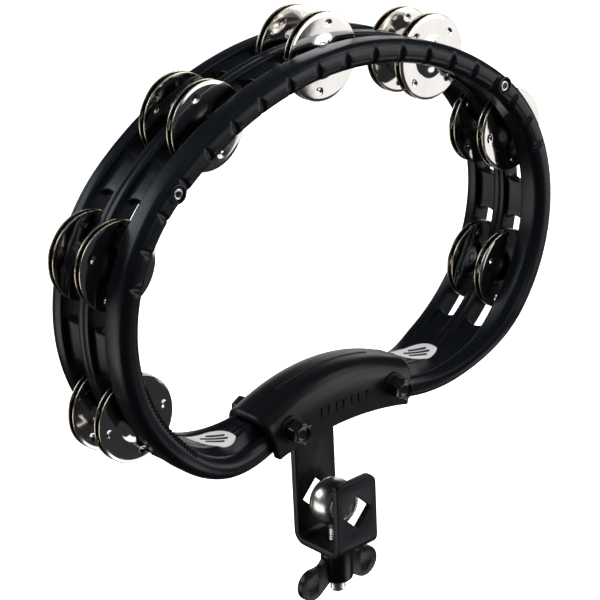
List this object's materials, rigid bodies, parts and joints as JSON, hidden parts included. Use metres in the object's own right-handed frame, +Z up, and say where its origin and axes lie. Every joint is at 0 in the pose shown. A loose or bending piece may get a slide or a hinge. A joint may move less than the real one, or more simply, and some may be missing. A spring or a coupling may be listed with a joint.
{
  "type": "tambourine",
  "caption": "Clamp-on tambourine: slotted bean-shaped plastic hoop with two rows of paired jingles on pins, a bolted grip cover and a bent steel bracket with eye bolt and wing nut for a rod.",
  "frame": {"origin": "centre of the rod clamp: on the eye bolt's ring axis, halfway between the bracket's two legs", "axes": "+Z up along the bracket to the hoop, +X right along the grip, -Y out of the hoop's front face"},
  "size_m": [0.2864, 0.051, 0.2951],
  "materials": {
    "abs_black": "satin black moulded ABS",
    "cover_black": "satin black moulded ABS",
    "jingle_nickel": "bright nickel-plated steel",
    "pin_black": "black oxide steel",
    "screw_nickel": "nickel-plated steel",
    "bolt_black": "black zinc-plated steel",
    "bracket_black": "satin black powder coat on steel",
    "eye_nickel": "bright nickel-plated steel",
    "wingnut_black": "satin black coat on cast metal",
    "label_white": "satin white vinyl"
  },
  "bodies": {
    "frame": {"frame_front": "abs_black", "frame_back": "abs_black", "cover_front": "cover_black", "cover_back": "cover_black", "bracket": "bracket_black", "cover_bolt_left": "bolt_black", "cover_bolt_right": "bolt_black", "cover_nut_left": "bolt_black", "cover_nut_right": "bolt_black", "frame_screw_left": "screw_nickel", "frame_screw_right": "screw_nickel", "strap_screw_left": "bolt_black", "strap_screw_right": "bolt_black", "label_left": "label_white", "label_right": "label_white", "jingle_pin_1": "pin_black", "jingle_pin_2": "pin_black", "jingle_pin_3": "pin_black", "jingle_pin_4": "pin_black", "jingle_pin_5": "pin_black", "jingle_pin_6": "pin_black", "jingle_pin_7": "pin_black"},
    "jingle_1a": {"jingle_1a": "jingle_nickel"},
    "jingle_1b": {"jingle_1b": "jingle_nickel"},
    "jingle_1c": {"jingle_1c": "jingle_nickel"},
    "jingle_1d": {"jingle_1d": "jingle_nickel"},
    "jingle_2a": {"jingle_2a": "jingle_nickel"},
    "jingle_2b": {"jingle_2b": "jingle_nickel"},
    "jingle_2c": {"jingle_2c": "jingle_nickel"},
    "jingle_2d": {"jingle_2d": "jingle_nickel"},
    "jingle_3a": {"jingle_3a": "jingle_nickel"},
    "jingle_3b": {"jingle_3b": "jingle_nickel"},
    "jingle_3c": {"jingle_3c": "jingle_nickel"},
    "jingle_3d": {"jingle_3d": "jingle_nickel"},
    "jingle_4a": {"jingle_4a": "jingle_nickel"},
    "jingle_4b": {"jingle_4b": "jingle_nickel"},
    "jingle_4c": {"jingle_4c": "jingle_nickel"},
    "jingle_4d": {"jingle_4d": "jingle_nickel"},
    "jingle_5a": {"jingle_5a": "jingle_nickel"},
    "jingle_5b": {"jingle_5b": "jingle_nickel"},
    "jingle_5c": {"jingle_5c": "jingle_nickel"},
    "jingle_5d": {"jingle_5d": "jingle_nickel"},
    "jingle_6a": {"jingle_6a": "jingle_nickel"},
    "jingle_6b": {"jingle_6b": "jingle_nickel"},
    "jingle_6c": {"jingle_6c": "jingle_nickel"},
    "jingle_6d": {"jingle_6d": "jingle_nickel"},
    "jingle_7a": {"jingle_7a": "jingle_nickel"},
    "jingle_7b": {"jingle_7b": "jingle_nickel"},
    "jingle_7c": {"jingle_7c": "jingle_nickel"},
    "jingle_7d": {"jingle_7d": "jingle_nickel"},
    "eye_bolt": {"eye_bolt": "eye_nickel"},
    "wing_nut": {"wing_nut": "wingnut_black"}
  },
  "joints": [
    {"name": "jingle_1a_slide", "type": "slide", "parent": "frame", "child": "jingle_1a", "axis": [0, 1, 0], "range_m": [-0.0009, 0.0013]},
    {"name": "jingle_1b_slide", "type": "slide", "parent": "frame", "child": "jingle_1b", "axis": [0, 1, 0], "range_m": [-0.0013, 0.0009]},
    {"name": "jingle_1c_slide", "type": "slide", "parent": "frame", "child": "jingle_1c", "axis": [0, 1, 0], "range_m": [-0.0009, 0.0013]},
    {"name": "jingle_1d_slide", "type": "slide", "parent": "frame", "child": "jingle_1d", "axis": [0, 1, 0], "range_m": [-0.0013, 0.0009]},
    {"name": "jingle_2a_slide", "type": "slide", "parent": "frame", "child": "jingle_2a", "axis": [0, 1, 0], "range_m": [-0.0009, 0.0013]},
    {"name": "jingle_2b_slide", "type": "slide", "parent": "frame", "child": "jingle_2b", "axis": [0, 1, 0], "range_m": [-0.0013, 0.0009]},
    {"name": "jingle_2c_slide", "type": "slide", "parent": "frame", "child": "jingle_2c", "axis": [0, 1, 0], "range_m": [-0.0009, 0.0013]},
    {"name": "jingle_2d_slide", "type": "slide", "parent": "frame", "child": "jingle_2d", "axis": [0, 1, 0], "range_m": [-0.0013, 0.0009]},
    {"name": "jingle_3a_slide", "type": "slide", "parent": "frame", "child": "jingle_3a", "axis": [0, 1, 0], "range_m": [-0.0009, 0.0013]},
    {"name": "jingle_3b_slide", "type": "slide", "parent": "frame", "child": "jingle_3b", "axis": [0, 1, 0], "range_m": [-0.0013, 0.0009]},
    {"name": "jingle_3c_slide", "type": "slide", "parent": "frame", "child": "jingle_3c", "axis": [0, 1, 0], "range_m": [-0.0009, 0.0013]},
    {"name": "jingle_3d_slide", "type": "slide", "parent": "frame", "child": "jingle_3d", "axis": [0, 1, 0], "range_m": [-0.0013, 0.0009]},
    {"name": "jingle_4a_slide", "type": "slide", "parent": "frame", "child": "jingle_4a", "axis": [0, 1, 0], "range_m": [-0.0009, 0.0013]},
    {"name": "jingle_4b_slide", "type": "slide", "parent": "frame", "child": "jingle_4b", "axis": [0, 1, 0], "range_m": [-0.0013, 0.0009]},
    {"name": "jingle_4c_slide", "type": "slide", "parent": "frame", "child": "jingle_4c", "axis": [0, 1, 0], "range_m": [-0.0009, 0.0013]},
    {"name": "jingle_4d_slide", "type": "slide", "parent": "frame", "child": "jingle_4d", "axis": [0, 1, 0], "range_m": [-0.0013, 0.0009]},
    {"name": "jingle_5a_slide", "type": "slide", "parent": "frame", "child": "jingle_5a", "axis": [0, 1, 0], "range_m": [-0.0009, 0.0013]},
    {"name": "jingle_5b_slide", "type": "slide", "parent": "frame", "child": "jingle_5b", "axis": [0, 1, 0], "range_m": [-0.0013, 0.0009]},
    {"name": "jingle_5c_slide", "type": "slide", "parent": "frame", "child": "jingle_5c", "axis": [0, 1, 0], "range_m": [-0.0009, 0.0013]},
    {"name": "jingle_5d_slide", "type": "slide", "parent": "frame", "child": "jingle_5d", "axis": [0, 1, 0], "range_m": [-0.0013, 0.0009]},
    {"name": "jingle_6a_slide", "type": "slide", "parent": "frame", "child": "jingle_6a", "axis": [0, 1, 0], "range_m": [-0.0009, 0.0013]},
    {"name": "jingle_6b_slide", "type": "slide", "parent": "frame", "child": "jingle_6b", "axis": [0, 1, 0], "range_m": [-0.0013, 0.0009]},
    {"name": "jingle_6c_slide", "type": "slide", "parent": "frame", "child": "jingle_6c", "axis": [0, 1, 0], "range_m": [-0.0009, 0.0013]},
    {"name": "jingle_6d_slide", "type": "slide", "parent": "frame", "child": "jingle_6d", "axis": [0, 1, 0], "range_m": [-0.0013, 0.0009]},
    {"name": "jingle_7a_slide", "type": "slide", "parent": "frame", "child": "jingle_7a", "axis": [0, 1, 0], "range_m": [-0.0009, 0.0013]},
    {"name": "jingle_7b_slide", "type": "slide", "parent": "frame", "child": "jingle_7b", "axis": [0, 1, 0], "range_m": [-0.0013, 0.0009]},
    {"name": "jingle_7c_slide", "type": "slide", "parent": "frame", "child": "jingle_7c", "axis": [0, 1, 0], "range_m": [-0.0009, 0.0013]},
    {"name": "jingle_7d_slide", "type": "slide", "parent": "frame", "child": "jingle_7d", "axis": [0, 1, 0], "range_m": [-0.0013, 0.0009]},
    {"name": "eye_bolt_clamp", "type": "slide", "parent": "frame", "child": "eye_bolt", "axis": [0, 0, -1], "range_m": [-0.0015, 0.004]},
    {"name": "wing_nut_turn", "type": "hinge", "parent": "frame", "child": "wing_nut", "pos_m": [0, 0, -0.0227], "axis": [0, 0, 1], "range_deg": [-432, 1152]}
  ],
  "couplings": [
    {"joint": "eye_bolt_clamp", "follows": "wing_nut_turn", "m_per_rad": 0.00019894}
  ]
}
